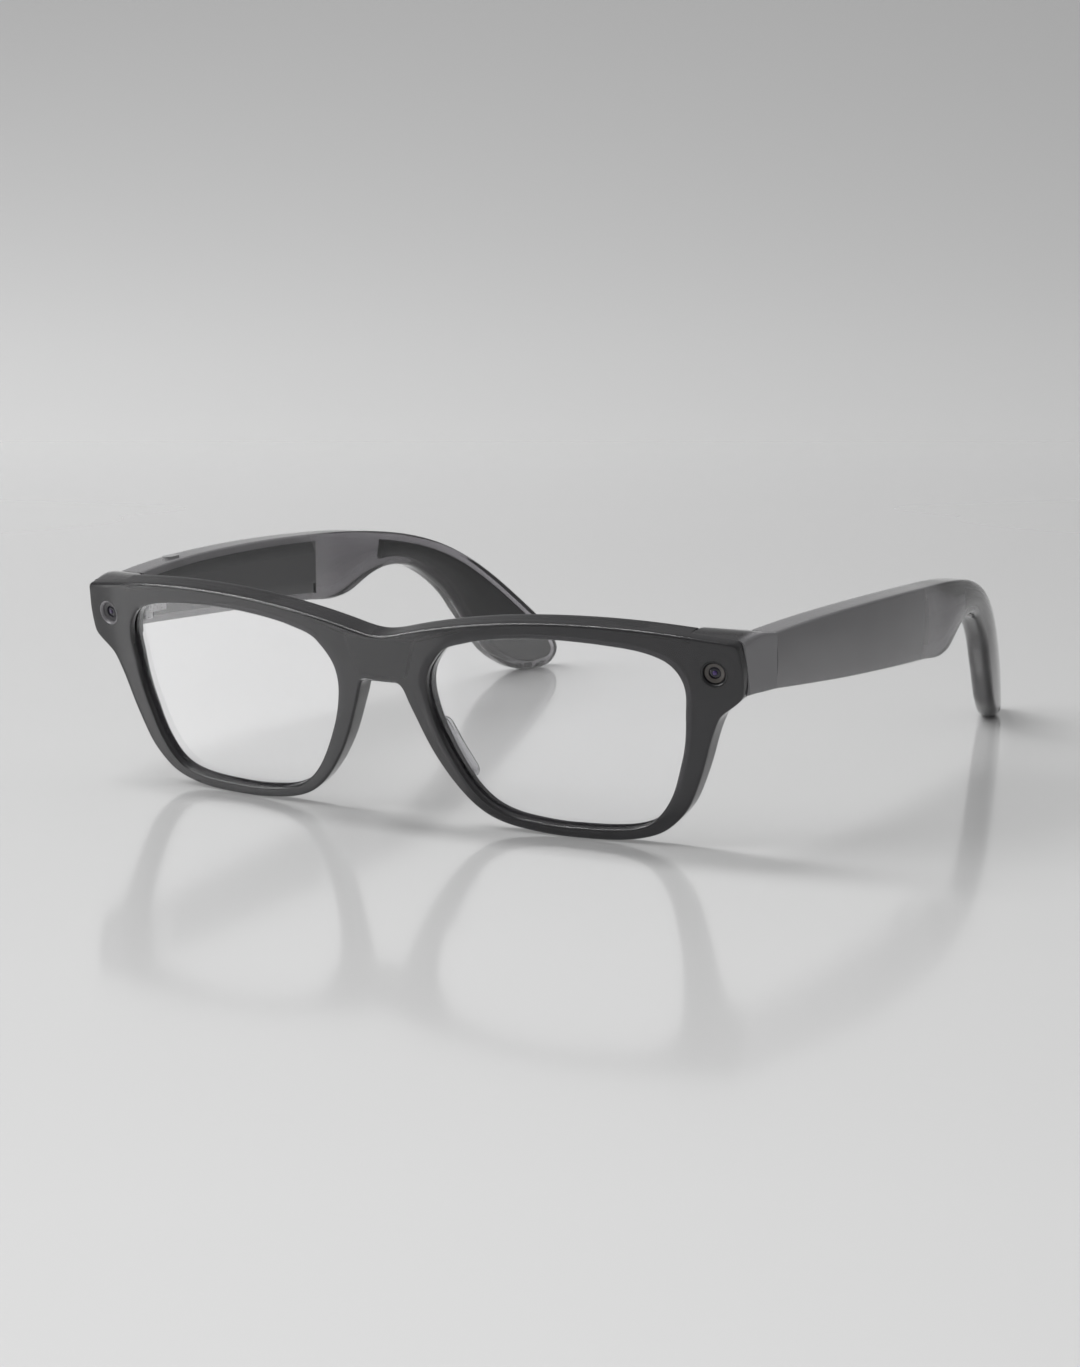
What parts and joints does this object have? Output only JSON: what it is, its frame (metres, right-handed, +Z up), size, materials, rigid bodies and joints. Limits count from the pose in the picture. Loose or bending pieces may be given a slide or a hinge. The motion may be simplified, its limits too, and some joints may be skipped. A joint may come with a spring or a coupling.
{
  "type": "smart glasses",
  "caption": "Full-rim smart glasses: curved dark translucent frame, clear lenses, camera and light in the corners, thick folding temples with ear hooks.",
  "frame": {"origin": "centre of the bounding box at its base, the level the glasses stand on", "axes": "+Z up, -Y the way the lenses face, +X the wearer's left; temples run towards +Y"},
  "size_m": [0.1598, 0.1724, 0.0444],
  "materials": {
    "frame_plastic": "polished translucent dark grey",
    "lens_glass": "clear, coated",
    "end_block_plastic": "polished translucent grey",
    "rear_strip_plastic": "polished",
    "insert_plastic": "satin",
    "flex_copper": "satin polyimide",
    "contact_gold": "plated",
    "pad_plastic": "polished translucent",
    "camera_trim": "polished black",
    "camera_glass": "purple coated glass",
    "barrel_plastic": "matt black",
    "board_green": "solder mask",
    "light_trim": "polished",
    "light_glass": "tinted window",
    "hinge_steel": "satin",
    "pin_steel": "satin",
    "temple_plastic": "polished translucent dark grey",
    "cover_plastic": "polished dark",
    "battery_wrap": "satin foil",
    "speaker_plastic": "matt",
    "grille_plastic": "matt",
    "core_plastic": "satin black",
    "switch_steel": "satin",
    "knob_plastic": "satin",
    "button_plastic": "polished"
  },
  "bodies": {
    "front": {"front_frame": "frame_plastic", "lens_left": "lens_glass", "lens_right": "lens_glass", "end_block_left": "end_block_plastic", "end_block_right": "end_block_plastic", "rear_strip": "rear_strip_plastic", "bridge_insert": "insert_plastic", "flat_cable": "flex_copper", "charge_contacts": "contact_gold", "nose_pad_left": "pad_plastic", "nose_pad_right": "pad_plastic", "camera_trim": "camera_trim", "camera_lens": "camera_glass", "camera_barrel": "barrel_plastic", "camera_board": "board_green", "light_trim": "light_trim", "light_window": "light_glass", "light_housing": "barrel_plastic", "light_board": "board_green", "hinge_leaf_front_left": "hinge_steel", "hinge_leaf_front_right": "hinge_steel", "hinge_pin_left": "pin_steel", "hinge_pin_right": "pin_steel"},
    "temple_left": {"temple_shell_left": "temple_plastic", "temple_cover_left": "cover_plastic", "main_board": "board_green", "battery_left": "battery_wrap", "speaker_left": "speaker_plastic", "speaker_grille_left": "grille_plastic", "temple_core_left": "core_plastic", "hinge_leaf_temple_left": "hinge_steel", "switch_body": "switch_steel"},
    "temple_right": {"temple_shell_right": "temple_plastic", "temple_cover_right": "cover_plastic", "touch_strip": "flex_copper", "battery_right": "battery_wrap", "speaker_right": "speaker_plastic", "speaker_grille_right": "grille_plastic", "temple_core_right": "core_plastic", "hinge_leaf_temple_right": "hinge_steel", "tactile_element": "switch_steel"},
    "power_switch": {"power_switch": "knob_plastic"},
    "capture_button": {"capture_button": "button_plastic"}
  },
  "joints": [
    {"name": "hinge_left", "type": "hinge", "parent": "front", "child": "temple_left", "pos_m": [0.0694, -0.06563, 0.03655], "axis": [0, 0, 1], "range_deg": [0, 88]},
    {"name": "hinge_right", "type": "hinge", "parent": "front", "child": "temple_right", "pos_m": [-0.0694, -0.06563, 0.03655], "axis": [0, 0, -1], "range_deg": [0, 75]},
    {"name": "power_slide", "type": "slide", "parent": "temple_left", "child": "power_switch", "axis": [0.0875, 0.9962, 0], "range_m": [0, 0.002]},
    {"name": "capture_press", "type": "slide", "parent": "temple_right", "child": "capture_button", "axis": [0, 0, -1], "range_m": [0, 0.00035], "stiffness_N_per_m": 2000, "springref_m": -0.0005}
  ]
}
